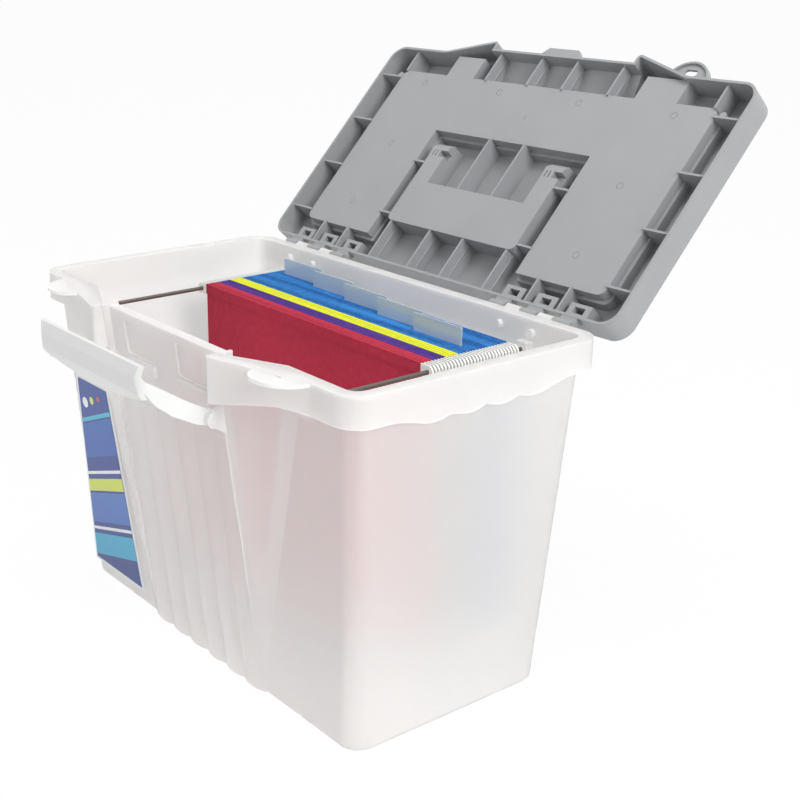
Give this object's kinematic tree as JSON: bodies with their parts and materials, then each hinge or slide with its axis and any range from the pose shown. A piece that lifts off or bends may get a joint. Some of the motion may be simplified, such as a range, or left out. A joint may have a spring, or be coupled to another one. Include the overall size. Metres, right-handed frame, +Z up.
{
  "type": "portable file box",
  "caption": "Portable plastic file box with a hinged organizer lid, bow-shaped front latch, folding carry handle and sliding hanging folders.",
  "frame": {"origin": "centre of the tub's flat underside", "axes": "+Z up, +X to the box's right seen from the front, +Y from the front towards the hinge at the back"},
  "size_m": [0.454, 0.5199, 0.4825],
  "materials": {
    "frosted_plastic": "translucent frosted",
    "grey_plastic": "satin",
    "cover_plastic": "satin",
    "latch_plastic": "translucent satin",
    "handle_plastic": "satin",
    "dark_steel": "satin dark coating",
    "steel": "satin",
    "white_coating": "dipped coating",
    "red_card": "matte card",
    "purple_card": "matte card",
    "yellow_card": "matte card",
    "blue_card": "matte card",
    "tab_plastic": "clear tinted",
    "white_card": "matte card",
    "label": "printed film"
  },
  "bodies": {
    "tub": {"tub": "frosted_plastic", "rail_left": "dark_steel", "rail_right": "dark_steel", "front_label": "label", "lid_hinge_pins": "steel"},
    "lid": {"lid_shell": "grey_plastic", "cover_hinge_pins": "steel"},
    "organizer_cover": {"organizer_cover": "cover_plastic"},
    "carry_handle": {"carry_handle": "handle_plastic"},
    "latch": {"latch_handle": "latch_plastic"},
    "blue_folders": {"folders_blue": "blue_card", "rods_blue": "steel", "hooks_blue": "white_coating", "index_tabs": "tab_plastic", "tab_inserts": "white_card"},
    "yellow_folders": {"folders_yellow": "yellow_card", "rods_yellow": "steel", "hooks_yellow": "white_coating"},
    "purple_folders": {"folders_purple": "purple_card", "rods_purple": "steel", "hooks_purple": "white_coating"},
    "red_folders": {"folders_red": "red_card", "rods_red": "steel", "hooks_red": "white_coating"}
  },
  "joints": [
    {"name": "lid_hinge", "type": "hinge", "parent": "tub", "child": "lid", "pos_m": [0, 0.1256, 0.293], "axis": [1, 0, 0], "range_deg": [0, 133]},
    {"name": "latch_pivot", "type": "hinge", "parent": "tub", "child": "latch", "pos_m": [0, -0.1385, 0.243], "axis": [-1, 0, 0], "range_deg": [0, 60]},
    {"name": "cover_hinge", "type": "hinge", "parent": "lid", "child": "organizer_cover", "pos_m": [0, 0.16436, 0.2894], "axis": [-1, 0, 0], "range_deg": [0, 110]},
    {"name": "carry_pivot", "type": "hinge", "parent": "lid", "child": "carry_handle", "pos_m": [0, 0.22866, 0.37273], "axis": [1, 0, 0], "range_deg": [0, 90]},
    {"name": "blue_slide", "type": "slide", "parent": "tub", "child": "blue_folders", "axis": [0, -1, 0], "range_m": [0, 0.02]},
    {"name": "yellow_slide", "type": "slide", "parent": "blue_folders", "child": "yellow_folders", "axis": [0, -1, 0], "range_m": [0, 0.022]},
    {"name": "purple_slide", "type": "slide", "parent": "yellow_folders", "child": "purple_folders", "axis": [0, -1, 0], "range_m": [0, 0.022]},
    {"name": "red_slide", "type": "slide", "parent": "purple_folders", "child": "red_folders", "axis": [0, -1, 0], "range_m": [0, 0.022]}
  ]
}
